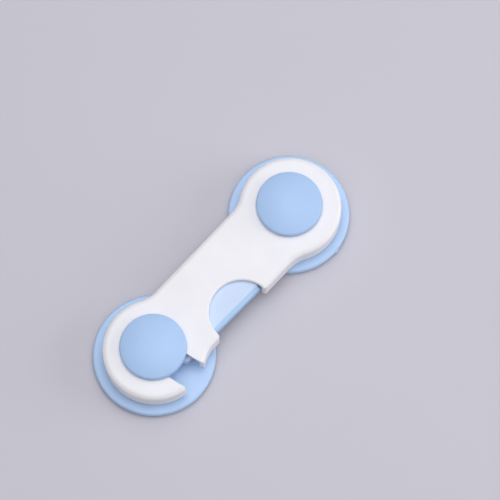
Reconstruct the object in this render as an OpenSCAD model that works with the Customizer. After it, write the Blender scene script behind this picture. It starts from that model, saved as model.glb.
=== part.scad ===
// Cabinet safety lock: a swinging arm that pivots on one adhesive base and hooks over the post
// of a second one. A sprung lever in the arm's side keeps the hook shut until it is pressed.
// Millimetres. Z up from the surface the lock is stuck to, X from the keeper to the pivot,
// and the origin midway between the two posts. The hook opens towards -Y.

/* [Bases] */
// Distance between the keeper's post and the pivot's post
span = 64.7; // [58:0.1:72]
// Radius of each adhesive base
disc_r = 20; // [18:0.1:23]
// Height of a base's rim
disc_rim_h = 1.9; // [1.5:0.1:2.2]
// Slope of a base's upper face, up to its collar
disc_slope = 4; // [2:0.5:5]
// Rounding of a base's rim
disc_round = 0.9; // [0.5:0.05:1.1]
// Radius of the collar that carries the arm
collar_r = 8.4; // [7:0.1:9.5]
// Height of the collar above the base's underside
collar_h = 3.55; // [3.4:0.05:4]
// Radius of both posts
post_r = 4.2; // [4:0.05:4.25]
// Width of the moulding gate left on a base's rim
gate_w = 1.4; // [0.8:0.1:2]
// How far the gate stands out of the rim
gate_out = 0.3; // [0.1:0.05:0.5]
// Turn of the gate about the pivot's post
pivot_gate_turn = -86; // [-180:1:180]

/* [Adhesive] */
// Radius of the foam pad and of its liner
pad_r = 17.6; // [15:0.1:17.9]
// Thickness of the foam pad
pad_t = 1; // [0.6:0.05:1.6]
// Thickness of the release liner
liner_t = 0.15; // [0.1:0.01:0.25]

/* [Caps] */
// Radius of a post's cap
cap_r = 10.8; // [10:0.1:12]
// Height of a cap's rim
cap_rim_h = 1.7; // [1.4:0.1:2.2]
// Rise of a cap's dome above its rim
cap_rise = 2.3; // [1.6:0.1:3]
// Rounding of a cap's rim
cap_round = 0.9; // [0.5:0.05:1.1]
// Width of the rim left around the hollow under a cap
cap_lip = 1.6; // [1.2:0.1:2]
// Depth of the hollow under a cap
cap_hollow = 1.2; // [0.8:0.1:1.4]
// Radius of the seat that lies on the post's end
cap_seat_r = 5.2; // [4.6:0.1:6]
// Radius of the cap's stem, inside the post
stem_r = 2.55; // [2.3:0.05:2.7]
// Length of the cap's stem
stem_l = 6.2; // [5.6:0.1:6.6]

/* [Arm] */
// Radius of the arm's round ends
ring_r = 16.7; // [16:0.1:17.5]
// Half of the arm's width between the ends
arm_half_w = 12.8; // [12.5:0.1:13.2]
// How far the arm's outline is set over towards its finger side
arm_shift = 0.45; // [0.3:0.05:0.5]
// Thickness of the arm
arm_t = 8.1; // [7.8:0.1:8.6]
// Radius of the hollow curve from the arm's side into each end
neck_r = 12; // [9:0.1:14]
// Rounding along the arm's upper edge
edge_r = 1.7; // [1.4:0.1:2.2]
// Side walls of the arm's shell
wall = 1.5; // [1.3:0.05:1.6]
// Upper wall of the arm's shell
top_t = 1.6; // [1.4:0.05:1.8]
// Thickness of the cover under the arm
cover_t = 1.4; // [1.2:0.05:1.6]
// Thickness of the ribs inside the arm's shell
rib_t = 1; // [0.8:0.05:1.2]
// Turn from one rib to the next around each round end
rib_turn = 45; // [36:1:45]

/* [Hook] */
// From the keeper's axis to the hook's inner face, towards the pivot
hook_in = 5.1; // [4.9:0.05:5.4]
// From the keeper's axis to the hook's outer face
hook_out = 4.4; // [4.35:0.05:4.7]
// Turn of the hook's mouth about the pivot
hook_turn = 20; // [18:1:24]

/* [Finger notch] */
// From the keeper's axis to the middle of the finger notch
notch_x = 28; // [27.5:0.1:29]
// Radius of the finger notch
notch_r = 10.6; // [10:0.1:11]
// Bevel along the notch's upper edge
notch_bevel = 0.35; // [0.2:0.05:0.5]

/* [Latch lever] */
// From the keeper's axis to the lever's pivot, along the arm
latch_x = 12; // [11.8:0.1:12.4]
// From the inside of the arm's side wall to the lever's pivot
latch_y = 3.25; // [3.05:0.05:3.55]
// Radius of the lever's hub
latch_hub_r = 2.8; // [2.7:0.05:3]
// Radius of the boss that the lever turns on
latch_boss_r = 1.8; // [1.7:0.05:1.9]
// From the keeper's axis to the nose's tip
nose_x = 3.4; // [3.2:0.05:3.6]
// From the arm's centre line to the nose's holding face
nose_in = 5; // [4.8:0.05:5.2]
// From the arm's centre line to the nose's outer face
nose_out = 10.9; // [10.6:0.05:11]
// Lead-in slope at the nose's tip
nose_lead = 1.3; // [1:0.1:1.6]
// How far the nose's top lies under the lever's top
nose_drop = 1; // [0.8:0.1:1.4]
// How far the button's face lies behind the arm's side
button_inset = 2.35; // [2.25:0.05:2.6]
// Slant of the button's face along the arm
button_slant = 1.4; // [0.8:0.1:1.6]
// Bevel along the button's upper front edge
button_bevel = 1.3; // [0.8:0.1:1.6]
// How far the lever runs on under the shell, behind the notch
lever_lap = 2.4; // [2:0.1:2.8]
// Length of the stop that bears on the arm's side
stop_l = 2.8; // [2:0.1:3.2]

/* [Return spring] */
// Outer radius of the spring
spring_r = 1.9; // [1.7:0.05:1.95]
// Diameter of the spring's wire
wire_d = 0.5; // [0.4:0.02:0.56]
// Turns of the spring
spring_turns = 7; // [6:1:8]
// From the keeper's axis to the spring
spring_x = 30; // [29:0.1:31]
// Radius of the pegs that hold the spring's ends
peg_r = 1; // [0.8:0.05:1.05]
// Length of those pegs
peg_l = 1.8; // [1.4:0.1:2.2]

/* [Screws] */
// Radius of a cap screw's shank
cap_screw_r = 0.95; // [0.8:0.05:1.1]
// Radius of a cap screw's head
cap_head_r = 2.1; // [1.8:0.05:2.3]
// Height of a cap screw's head
cap_head_h = 1.4; // [1.1:0.05:1.6]
// Radius of a cover screw's shank
cover_screw_r = 0.72; // [0.6:0.02:0.8]
// Radius of a cover screw's countersunk head
cover_head_r = 1.75; // [1.6:0.05:1.85]
// Length of a cover screw
cover_screw_l = 4.6; // [4.2:0.1:5]
// Radius of the bosses that take the cover screws
screw_boss_r = 2.2; // [1.9:0.05:2.4]
// From the pivot's axis back to the two screws beside it
screw_back = 14.7; // [14.2:0.1:15.2]
// From the inside of the arm's side wall to those screws
screw_side = 2.85; // [2.45:0.05:3.25]
// Width of the cross slots in the screws' heads
slot_w = 0.5; // [0.4:0.05:0.6]

/* [Fits] */
// Running clearance around the pivot's post and the lever's boss
run_fit = 0.1; // [0.06:0.01:0.1]
// Clearance around pieces that are pressed or dropped in
drop_fit = 0.05; // [0.03:0.01:0.08]
// Clearance around the cover's edge
cover_fit = 0.15; // [0.1:0.01:0.2]
// Gap under the arm, over its collar
arm_gap = 0.2; // [0.1:0.02:0.3]
// Gap between the arm and the caps
cap_gap = 0.3; // [0.2:0.02:0.35]
// Gap above and below the lever
lever_gap = 0.2; // [0.15:0.01:0.25]
// Gap around the nose in its window
nose_gap = 0.4; // [0.3:0.05:0.5]

/* [Hidden] */
$fn = 96;
// Shares of the sizes that they follow
head_slot_share = 1.3;
head_depth_share = 0.55;
web_depth_share = 2;
knee_share = 0.3;
heel_share = 0.31;
window_share = 2;
stop_h_share = 0.5;
stop_w_share = 1.3;
spring_close_share = 0.3;
// The small overlap that lets a neck run into the round end and the side
neck_lap = neck_r / 600;
// Reach of cutters past what they cut
over = arm_t;

// Heights
base_z = liner_t + pad_t;
collar_z = base_z + collar_h;
arm_z0 = collar_z + arm_gap;
arm_z1 = arm_z0 + arm_t;
roof_z = arm_z1 - top_t;
floor_z = arm_z0 + cover_t;
cap_z = arm_z1 + cap_gap;
lever_z0 = floor_z + lever_gap;
lever_z1 = roof_z - lever_gap;
nose_z1 = lever_z1 - nose_drop;
spring_z = (floor_z + roof_z) / 2;
socket_r = stem_r + drop_fit;
socket_z = cap_z - stem_l - drop_fit;
head_z = base_z + cap_head_h + cap_gap;

// Plan of the arm, from the keeper's axis
neck_x = sqrt(pow(ring_r + neck_r, 2) - pow(arm_half_w + neck_r, 2));
neck_y = arm_half_w + neck_r;
neck_turn = atan2(neck_y, neck_x);
web_l = edge_r * web_depth_share;
bore_r = post_r + run_fit;
hook_mid = (hook_in - hook_out) / 2;
hook_end_r = (hook_in + hook_out) / 2 + drop_fit;
inner_w = arm_half_w - arm_shift - wall;
screw_y = inner_w - screw_side;

// Plan of the lever, from the keeper's axis
hub_y = inner_w - latch_y;
lever_left = hook_in + wall + nose_gap * 4;
heel_y = -arm_half_w * (1 - heel_share);
button_x0 = notch_x - notch_r - wall / 2;
button_x1 = notch_x + notch_r - nose_gap;
button_l = button_x1 - button_x0;
button_y0 = button_inset - arm_half_w - arm_shift;
function face_y(x) = button_y0 - (x - button_x0) * tan(button_slant);
button_y1 = face_y(button_x1);
back_y = notch_r - arm_half_w + lever_lap;
knee_x = button_x0 + (notch_x - button_x0) * knee_share;
stop_h = (lever_z1 - lever_z0) * stop_h_share;
stop_w = stop_l * stop_w_share;
stop_x0 = button_x1 - stop_w;
stop_x1 = button_x1 + stop_l;
stop_outline = [
  [stop_x0, face_y(stop_x0) + drop_fit],
  [stop_x1, face_y(stop_x1) + drop_fit],
  [stop_x1, button_y1 + stop_w],
  [stop_x0, button_y1 + stop_w]
];
window_y0 = nose_in - nose_gap;
window_y1 = nose_out + wall * window_share;
pocket_x0 = button_x0 + wall;
pocket_x1 = button_x1 - wall;
pocket_outline = [
  [pocket_x0, face_y(pocket_x0) + wall],
  [pocket_x1, face_y(pocket_x1) + wall],
  [pocket_x1, button_y1 / 2],
  [pocket_x1 - notch_r / 2, back_y - wall],
  [knee_x, back_y - wall]
];
lever_outline = [
  [latch_x - latch_hub_r, hub_y],
  [lever_left, -nose_in],
  [nose_x, -nose_in],
  [nose_x, nose_lead - nose_out],
  [nose_x + nose_lead, -nose_out],
  [hook_in + wall, -nose_out],
  [latch_x, heel_y],
  [button_x0, heel_y],
  [button_x0, button_y0],
  [button_x1, button_y1],
  [button_x1, button_y1 / 2],
  [button_x1 - notch_r / 2, back_y],
  [knee_x, back_y],
  [latch_x + latch_hub_r, hub_y]
];

// Return spring: a helix whose turns lie closer at both ends, with its least gap to itself
spring_y0 = back_y + drop_fit + wire_d / 2;
spring_y1 = inner_w - drop_fit - wire_d / 2;
spring_steps = 8 * spring_turns;
coil_r = spring_r - wire_d / 2;
function coil_share(i) = i / spring_steps;
function coil_y(s) = spring_y0 + (spring_y1 - spring_y0) * (s - spring_close_share * sin(360 * s) / (2 * PI));
function coil_turn(s) = 360 * spring_turns * s;
function coil_point(s, r) = [r * cos(coil_turn(s)), coil_y(s), r * sin(coil_turn(s))];
function coil_ring(i, r) = [
  for (k = [0:5])
    coil_point(coil_share(i), coil_r + r * cos(60 * k)) + [0, r * sin(60 * k), 0]
];
coil_points = [for (i = [0:spring_steps]) each coil_ring(i, wire_d / 2)];
coil_sides = [
  for (i = [0:spring_steps - 1], k = [0:5]) each [
    [6 * i + k, 6 * i + (k + 1) % 6, 6 * i + 6 + k],
    [6 * i + (k + 1) % 6, 6 * i + 6 + (k + 1) % 6, 6 * i + 6 + k]
  ]
];
coil_ends = [
  for (k = [1:4]) each [
    [0, k + 1, k],
    [6 * spring_steps, 6 * spring_steps + k, 6 * spring_steps + k + 1]
  ]
];
least_gap = min([
  for (i = [0:spring_steps - 5], j = [i + 5:spring_steps])
    norm(coil_point(coil_share(i), coil_r) - coil_point(coil_share(j), coil_r)) - wire_d
]);
echo(spring_least_gap_mm = least_gap);

module at_keeper() translate([-span / 2, 0, 0]) children();

module at_pivot() translate([span / 2, 0, 0]) children();

// The upper half of a rim's rounding
module rim_round(mid, r) {
  intersection() {
    translate(mid) circle(r);
    translate(mid - [r, 0]) square(2 * r);
  }
}

// Half section of a domed disc with a rounded rim
module dome_section(r, z, rim_h, rise, round_r) {
  ball_r = (pow(r, 2) + pow(rise, 2)) / (2 * rise);
  ball_z = z + rim_h + rise - ball_r;
  mid_x = r - round_r;
  mid_z = ball_z + sqrt(pow(ball_r - round_r, 2) - pow(mid_x, 2));
  grow = ball_r / (ball_r - round_r);
  meet = [mid_x * grow, ball_z + (mid_z - ball_z) * grow];
  intersection() {
    translate([0, ball_z]) circle(ball_r);
    polygon([[0, z], [r, z], [r, mid_z], [mid_x, mid_z], meet, [meet.x, z + 2 * r], [0, z + 2 * r]]);
  }
  rim_round([mid_x, mid_z], round_r);
}

// Half section of a base's disc, which slopes up from a rounded rim
module disc_section() {
  mid = [disc_r - disc_round, base_z + disc_rim_h - disc_round];
  meet = mid + disc_round * [sin(disc_slope), cos(disc_slope)];
  crown_z = meet.y + meet.x * tan(disc_slope);
  polygon([[0, base_z], [disc_r, base_z], [disc_r, mid.y], mid, meet, [0, crown_z]]);
  rim_round(mid, disc_round);
}

// A disc with its crown, the collar that the arm lies on, and the hollow post
module base(gate_turn) {
  difference() {
    union() {
      rotate_extrude() disc_section();
      translate([0, 0, base_z]) cylinder(r = collar_r, h = collar_h);
      translate([0, 0, base_z]) cylinder(r = post_r, h = cap_z - base_z);
      rotate([0, 0, gate_turn])
        translate([disc_r - disc_round, -gate_w / 2, base_z])
          cube([disc_round + gate_out, gate_w, disc_rim_h - disc_round]);
    }
    translate([0, 0, socket_z]) cylinder(r = socket_r, h = stem_l + over);
    translate([0, 0, -over]) cylinder(r = cap_screw_r + run_fit, h = socket_z + 2 * over);
    translate([0, 0, -over]) cylinder(r = cap_head_r + cap_gap, h = head_z + over);
  }
}

// A domed cap, hollowed underneath, with the stem that goes down the post
module cap() {
  difference() {
    union() {
      rotate_extrude() dome_section(cap_r, cap_z, cap_rim_h, cap_rise, cap_round);
      translate([0, 0, cap_z - stem_l]) cylinder(r = stem_r, h = stem_l + cap_rim_h);
    }
    difference() {
      translate([0, 0, cap_z - over]) cylinder(r = cap_r - cap_lip, h = cap_hollow + over);
      translate([0, 0, cap_z - over]) cylinder(r = cap_seat_r, h = cap_hollow + 2 * over);
    }
    translate([0, 0, cap_z - stem_l - over])
      cylinder(r = cap_screw_r + drop_fit, h = over + stem_l - stem_r + cap_hollow);
  }
}

module cross_slot(r, depth) {
  for (turn = [0, 90])
    rotate([0, 0, turn])
      translate([-r * head_slot_share / 2, -slot_w / 2, -over])
        cube([r * head_slot_share, slot_w, over + depth]);
}

// A pan-headed screw that draws the cap's stem down into the post
module cap_screw() {
  slot_h = cap_head_h * head_depth_share;
  translate([0, 0, head_z - cap_head_h])
    difference() {
      union() {
        rotate([180, 0, 0]) translate([0, 0, -cap_head_h]) rotate_extrude()
          dome_section(cap_head_r, 0, slot_h, cap_head_h - slot_h, slot_w);
        cylinder(r = cap_screw_r, h = cap_head_h + socket_z - head_z + stem_l / 2);
      }
      cross_slot(cap_head_r, slot_h);
    }
}

module adhesive_pad() translate([0, 0, liner_t]) cylinder(r = pad_r, h = pad_t);

module release_liner() cylinder(r = pad_r, h = liner_t);

// Section of an edge that is rounded at its top, from r_in out to r_out
module edge_section(r_in, r_out) {
  out = sign(r_out - r_in);
  side = abs(r_out - r_in);
  translate([r_in, 0]) mirror([out < 0 ? 1 : 0, 0]) {
    translate([0, arm_z0]) square([side, arm_t - edge_r]);
    translate([0, arm_z0]) square([side - edge_r, arm_t]);
    translate([side - edge_r, arm_z1 - edge_r]) circle(edge_r);
  }
}

module round_end() rotate_extrude() edge_section(0, ring_r);

module neck() {
  translate([neck_x, neck_y, 0])
    rotate_extrude(angle = 90 - neck_turn, start = 180 + neck_turn)
      edge_section(neck_r + web_l, neck_r + neck_lap);
}

module necks() {
  neck();
  mirror([0, 1, 0]) neck();
}

// The arm's whole outer form, with one rounding that runs around its upper edge
module arm_form() {
  translate([0, -arm_shift, 0]) {
    round_end();
    translate([span, 0, 0]) round_end();
    rotate([90, 0, 90]) linear_extrude(span) {
      edge_section(0, arm_half_w);
      edge_section(0, -arm_half_w);
    }
    necks();
    translate([span, 0, 0]) mirror([1, 0, 0]) necks();
  }
}

// The room inside the arm's walls
module arm_room(inset, z, h) {
  translate([0, -arm_shift, z]) linear_extrude(h) {
    circle(ring_r - inset);
    translate([span, 0]) circle(ring_r - inset);
    translate([0, inset - arm_half_w]) square([span, 2 * (arm_half_w - inset)]);
  }
}

// The hook's slot, which lies on a circle about the pivot, larger by grow
module hook_slot(grow, z, h) {
  translate([span, 0, z])
    rotate_extrude(angle = hook_turn, start = 180)
      translate([span - hook_in - grow, 0]) square([hook_in + hook_out + 2 * grow, h]);
  translate([hook_mid, 0, z]) cylinder(r = hook_end_r + grow, h = h);
}

module finger_notch() {
  translate([notch_x, -arm_half_w, 0]) {
    translate([0, 0, arm_z0 - over]) cylinder(r = notch_r, h = arm_t + 2 * over);
    translate([0, 0, arm_z1 - notch_bevel])
      cylinder(r1 = notch_r, r2 = notch_r + 2 * notch_bevel, h = 2 * notch_bevel);
  }
}

// The opening in the hook's inner wall, clear down to its lower edge, that the lever's nose comes through
module nose_window() {
  mid_r = span - hook_in;
  turn_0 = asin(window_y0 / mid_r);
  turn_1 = asin(window_y1 / mid_r);
  translate([span, 0, arm_z0 - over])
    rotate_extrude(angle = turn_1 - turn_0, start = 180 + turn_0)
      translate([mid_r - wall - nose_gap, 0]) square([2 * wall + nose_gap, roof_z - arm_z0 + over]);
}

module screw_places() {
  translate([latch_x, hub_y, 0]) children();
  for (side = [-1, 1])
    translate([span - screw_back, side * screw_y, 0]) children();
}

// Ribs that run out from the axis of a round end to its wall, just clear of the cover
module end_ribs(r_in, turns) {
  for (turn = turns)
    rotate([0, 0, turn])
      translate([r_in, -rib_t / 2, floor_z + lever_gap])
        cube([ring_r - wall / 2 - r_in, rib_t, over]);
}

// The ribs around both ends, and the one that ties the two screw bosses together
module ribs() {
  end_ribs(hook_end_r, [for (step = [-2:1]) 180 + step * rib_turn]);
  translate([span, 0, 0]) end_ribs(bore_r + wall / 2, [for (step = [-2:2]) step * rib_turn]);
  translate([span - screw_back - rib_t / 2, -screw_y, floor_z + lever_gap])
    cube([rib_t, 2 * screw_y, over]);
}

module spring_peg(y, turn) {
  translate([spring_x, y, spring_z]) rotate([turn, 0, 0]) cylinder(r = peg_r, h = peg_l + wall / 2);
}

module arm_top_shell() {
  color("#efeef4") at_keeper() {
    difference() {
      arm_form();
      difference() {
        arm_room(wall, arm_z0 - over, roof_z - arm_z0 + over);
        hook_slot(wall, arm_z0 - 2 * over, arm_t + 3 * over);
        translate([span, 0, arm_z0 - 2 * over]) cylinder(r = bore_r + wall, h = arm_t + 3 * over);
        translate([latch_x, hub_y, floor_z]) cylinder(r = latch_boss_r, h = over);
        for (side = [-1, 1])
          translate([span - screw_back, side * screw_y, floor_z]) cylinder(r = screw_boss_r, h = over);
        ribs();
      }
      hook_slot(0, arm_z0 - over, arm_t + 2 * over);
      translate([span, 0, arm_z0 - over]) cylinder(r = bore_r, h = arm_t + 2 * over);
      finger_notch();
      nose_window();
      screw_places() translate([0, 0, floor_z - over])
        cylinder(r = cover_screw_r + drop_fit, h = over + cover_screw_l - cover_t);
    }
    spring_peg(inner_w + wall / 2, 90);
  }
}

module arm_bottom_cover() {
  color("#e9e8ee") at_keeper() {
    difference() {
      arm_room(wall + cover_fit, arm_z0, cover_t);
      hook_slot(wall + cover_fit, arm_z0 - over, cover_t + 2 * over);
      translate([span, 0, arm_z0 - over]) cylinder(r = bore_r + wall + cover_fit, h = cover_t + 2 * over);
      finger_notch();
      screw_places() {
        translate([0, 0, arm_z0 - over]) cylinder(r = cover_screw_r + cover_fit, h = cover_t + 2 * over);
        translate([0, 0, arm_z0 - cover_fit])
          cylinder(r1 = cover_head_r + 2 * cover_fit, r2 = cover_screw_r + cover_fit,
            h = cover_head_r - cover_screw_r + cover_fit);
      }
    }
  }
}

module cover_screw() {
  head_h = cover_head_r - cover_screw_r;
  translate([0, 0, arm_z0 + drop_fit])
    difference() {
      union() {
        cylinder(r1 = cover_head_r, r2 = cover_screw_r, h = head_h);
        cylinder(r = cover_screw_r, h = cover_screw_l - run_fit);
      }
      cross_slot(cover_screw_r * 2, head_h * head_depth_share);
    }
}

module arm_screws() color("#8f9298") at_keeper() screw_places() cover_screw();

module latch_lever() {
  color("#cfdff8") at_keeper() {
    difference() {
      union() {
        translate([0, 0, lever_z0]) linear_extrude(lever_z1 - lever_z0) polygon(lever_outline);
        translate([latch_x, hub_y, lever_z0]) cylinder(r = latch_hub_r, h = lever_z1 - lever_z0);
        translate([0, 0, lever_z0]) linear_extrude(stop_h) polygon(stop_outline);
      }
      translate([latch_x, hub_y, lever_z0 - over]) cylinder(r = latch_boss_r + run_fit, h = 3 * over);
      translate([0, 0, lever_z0 - over])
        linear_extrude(lever_z1 - wall - lever_z0 + over) polygon(pocket_outline);
      translate([nose_x - over, -nose_out - over, nose_z1])
        cube([lever_left - nose_x + over, nose_out - nose_in + 2 * over, over]);
      translate([button_x0, button_y0, lever_z1]) rotate([45, 0, -button_slant])
        translate([-nose_gap, -over, -button_bevel / sqrt(2)])
          cube([button_l + over, 2 * over, over]);
    }
    spring_peg(back_y - wall / 2, -90);
  }
}

module latch_spring() {
  color("#b9bcc2") at_keeper() translate([spring_x, 0, spring_z])
    polyhedron(coil_points, concat(coil_sides, coil_ends));
}

module keeper_base() color("#bcd8f5") at_keeper() base(0);

module keeper_cap() color("#b8d0f2") at_keeper() cap();

module keeper_cap_screw() color("#8f9298") at_keeper() cap_screw();

module keeper_adhesive_pad() color("#e4e4e0") at_keeper() adhesive_pad();

module keeper_release_liner() color("#d9c9a6") at_keeper() release_liner();

module pivot_base() color("#bcd8f5") at_pivot() base(pivot_gate_turn);

module pivot_cap() color("#b8d0f2") at_pivot() cap();

module pivot_cap_screw() color("#8f9298") at_pivot() cap_screw();

module pivot_adhesive_pad() color("#e4e4e0") at_pivot() adhesive_pad();

module pivot_release_liner() color("#d9c9a6") at_pivot() release_liner();

keeper_base();
keeper_cap();
keeper_cap_screw();
keeper_adhesive_pad();
keeper_release_liner();
pivot_base();
pivot_cap();
pivot_cap_screw();
pivot_adhesive_pad();
pivot_release_liner();
arm_top_shell();
arm_bottom_cover();
arm_screws();
latch_lever();
latch_spring();
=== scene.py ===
"""Studio scene of a cabinet safety lock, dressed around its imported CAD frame.

The lock has two stick-on bases, an arm that swings on one of them and hooks over the other, and a
sprung lever in the arm. Lengths are metres in the CAD frame: X runs from the keeper to the pivot and
Z up from the surface that the lock is stuck to.
"""

import logging
import math
from dataclasses import dataclass
from enum import Enum
from typing import Any, Optional, Sequence, Union

import bmesh
import bpy
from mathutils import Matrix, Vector


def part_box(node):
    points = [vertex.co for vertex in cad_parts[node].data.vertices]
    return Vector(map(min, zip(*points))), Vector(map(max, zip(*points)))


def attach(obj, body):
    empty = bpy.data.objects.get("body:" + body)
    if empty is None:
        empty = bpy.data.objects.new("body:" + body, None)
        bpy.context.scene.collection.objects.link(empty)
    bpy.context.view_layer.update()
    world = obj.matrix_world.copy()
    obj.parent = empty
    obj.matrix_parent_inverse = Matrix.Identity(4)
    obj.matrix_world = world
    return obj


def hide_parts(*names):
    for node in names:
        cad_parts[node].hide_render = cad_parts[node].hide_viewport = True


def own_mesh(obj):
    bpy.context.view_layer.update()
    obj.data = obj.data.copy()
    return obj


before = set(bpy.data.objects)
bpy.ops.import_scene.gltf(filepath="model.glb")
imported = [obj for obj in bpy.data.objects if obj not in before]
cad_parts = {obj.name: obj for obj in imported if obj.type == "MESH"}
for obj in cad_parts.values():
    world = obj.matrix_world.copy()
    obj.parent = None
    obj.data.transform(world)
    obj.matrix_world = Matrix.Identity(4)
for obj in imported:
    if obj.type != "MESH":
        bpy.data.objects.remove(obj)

LOG = logging.getLogger("cabinet_lock")
MM = 0.001
TURN = 2 * math.pi
WELD = 0.0005 * MM

Colour = tuple[float, float, float]
Point = tuple[float, float]
Term = Union["Wire", float, int]
Piece = bpy.types.Object
Material = bpy.types.Material
Form = bmesh.types.BMesh
Options = Optional[dict[Any, Any]]


class Body(Enum):
    """The CAD bodies that a piece can ride on."""

    BASES = "bases"
    ARM = "arm"
    LEVER = "lever"


class Slot(Enum):
    """The record's material slots."""

    ARM = "arm_plastic"
    BASE = "base_plastic"
    CAP = "cap_plastic"
    LEVER = "lever_plastic"
    FOAM = "foam"
    LINER = "liner_paper"
    SCREW = "screw_steel"
    SPRING = "spring_steel"


class Head(Enum):
    """The two kinds of screw head in the lock."""

    COUNTERSUNK = "countersunk"
    PAN = "pan"


def srgb(red: int, green: int, blue: int) -> Colour:
    """Turns a colour as it is seen on screen into the linear one that shaders use.

    Args:
        red: Red from 0 to 255.
        green: Green from 0 to 255.
        blue: Blue from 0 to 255.

    Returns:
        The linear red, green and blue.
    """
    return tuple(
        share / 12.92 if share <= 0.04045 else ((share + 0.055) / 1.055) ** 2.4
        for share in (red / 255, green / 255, blue / 255)
    )


def added(name: str, data: Any) -> Piece:
    """Adds an object to the scene.

    Args:
        name: Its name.
        data: Its mesh, light or camera.

    Returns:
        The object.
    """
    piece = bpy.data.objects.new(name, data)
    bpy.context.scene.collection.objects.link(piece)
    return piece


class Wire:
    """An output socket that can stand in a sum."""

    def __init__(self, graph: "Graph", socket: bpy.types.NodeSocket) -> None:
        """Keeps the socket and the graph that its sums are added to."""
        self.graph = graph
        self.socket = socket

    def __add__(self, other: Term) -> "Wire":
        """Returns self + other."""
        return self.graph.math("ADD", self, other)

    def __radd__(self, other: Term) -> "Wire":
        """Returns other + self."""
        return self.graph.math("ADD", other, self)

    def __sub__(self, other: Term) -> "Wire":
        """Returns self - other."""
        return self.graph.math("SUBTRACT", self, other)

    def __rsub__(self, other: Term) -> "Wire":
        """Returns other - self."""
        return self.graph.math("SUBTRACT", other, self)

    def __mul__(self, other: Term) -> "Wire":
        """Returns self * other."""
        return self.graph.math("MULTIPLY", self, other)

    def __rmul__(self, other: Term) -> "Wire":
        """Returns other * self."""
        return self.graph.math("MULTIPLY", other, self)

    def __truediv__(self, other: Term) -> "Wire":
        """Returns self / other."""
        return self.graph.math("DIVIDE", self, other)

    def __rtruediv__(self, other: Term) -> "Wire":
        """Returns other / self."""
        return self.graph.math("DIVIDE", other, self)


class Graph:
    """A shader or geometry tree that is being built."""

    def __init__(self, tree: bpy.types.NodeTree) -> None:
        """Starts with an empty tree."""
        self.tree = tree
        tree.nodes.clear()

    def node(self, kind: str, sockets: Options = None, settings: Options = None) -> bpy.types.Node:
        """Adds a node.

        Args:
            kind: The node's type.
            sockets: Values or wires for its inputs, by name or number.
            settings: Its properties, which are set before its inputs.

        Returns:
            The new node.
        """
        node = self.tree.nodes.new(kind)
        for name, value in (settings or {}).items():
            setattr(node, name, value)
        for key, value in (sockets or {}).items():
            for one in value if isinstance(value, list) else [value]:
                if isinstance(one, Wire):
                    self.tree.links.new(one.socket, node.inputs[key])
                else:
                    node.inputs[key].default_value = one
        return node

    def wire(
        self, kind: str, sockets: Options = None, settings: Options = None, output: Union[int, str] = 0
    ) -> Wire:
        """Adds a node, as node does, and returns the output with that name or number."""
        return Wire(self, self.node(kind, sockets, settings).outputs[output])

    def math(self, operation: str, *terms: Term) -> Wire:
        """Adds a Math node on values or wires and returns its result."""
        return self.wire("ShaderNodeMath", dict(enumerate(terms)), {"operation": operation})

    def split(self, vector: Wire) -> tuple[Wire, ...]:
        """Returns the three parts of a vector."""
        node = self.node("ShaderNodeSeparateXYZ", {0: vector})
        return tuple(Wire(self, part) for part in node.outputs)

    def join(self, x: Term = 0.0, y: Term = 0.0, z: Term = 0.0) -> Wire:
        """Returns a vector made of three parts."""
        return self.wire("ShaderNodeCombineXYZ", {0: x, 1: y, 2: z})

    def mix(self, share: Term, first: Any, second: Any) -> Wire:
        """Returns a colour between two, by share. A Mix node's colours go into 6 and 7 and come out at 2."""
        return self.wire("ShaderNodeMix", {0: share, 6: first, 7: second}, {"data_type": "RGBA"}, 2)


@dataclass(frozen=True)
class Relief:
    """A fine pattern: its size, how far it varies the roughness, its depth and how strongly it shows."""

    size: float
    gloss: float
    depth: float = 0.0
    strength: float = 0.0


class Surface(Graph):
    """A material's tree, with the patterns that the finishes share."""

    def __init__(self, name: str) -> None:
        """Makes an empty material.

        Args:
            name: The material's name.
        """
        self.material = bpy.data.materials.new(name)
        self.material.use_nodes = True
        super().__init__(self.material.node_tree)
        self.place = self.wire("ShaderNodeTexCoord", output="Object")

    def noise(self, size: float, detail: float = 2.0, stretch: Sequence[float] = (1, 1, 1)) -> Wire:
        """Adds a cloudy pattern.

        Args:
            size: Size of its clouds in metres.
            detail: How many finer layers it has.
            stretch: Shares that the pattern is drawn out by along each axis.

        Returns:
            The pattern, around 0.5.
        """
        scale = tuple(1 / (size * share) for share in stretch)
        place = self.wire("ShaderNodeMapping", {"Vector": self.place, "Scale": scale})
        return self.wire("ShaderNodeTexNoise", {"Vector": place, "Scale": 1.0, "Detail": detail})

    def cells(self, size: float) -> Wire:
        """Returns the distance to the middle of the nearest of many cells of that size."""
        return self.wire("ShaderNodeTexVoronoi", {"Vector": self.place, "Scale": 1 / size})

    def ramp(self, value: Wire, low: float = 0.3, high: float = 0.7) -> Wire:
        """Returns a value stretched so that low becomes 0 and high 1, and kept between them."""
        return self.wire("ShaderNodeMapRange", {0: value, 1: low, 2: high})

    def upward(self, low: float, high: float) -> Wire:
        """Returns 0 where the surface direction's upward share is low or less, and 1 where it is high."""
        facing = self.wire("ShaderNodeTexCoord", output="Normal")
        return self.ramp(self.split(facing)[2], low, high)

    def bump(self, height: Wire, relief: Relief) -> Wire:
        """Returns a surface direction that follows a height pattern."""
        sockets = {"Strength": relief.strength, "Distance": relief.depth, "Height": height}
        return self.wire("ShaderNodeBump", sockets)

    def close(self, sockets: dict[Any, Any]) -> Material:
        """Ends the tree in a Principled shader.

        Args:
            sockets: Values or wires for the shader's inputs.

        Returns:
            The material.
        """
        shader = self.wire("ShaderNodeBsdfPrincipled", sockets)
        self.node("ShaderNodeOutputMaterial", {"Surface": shader})
        return self.material


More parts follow.
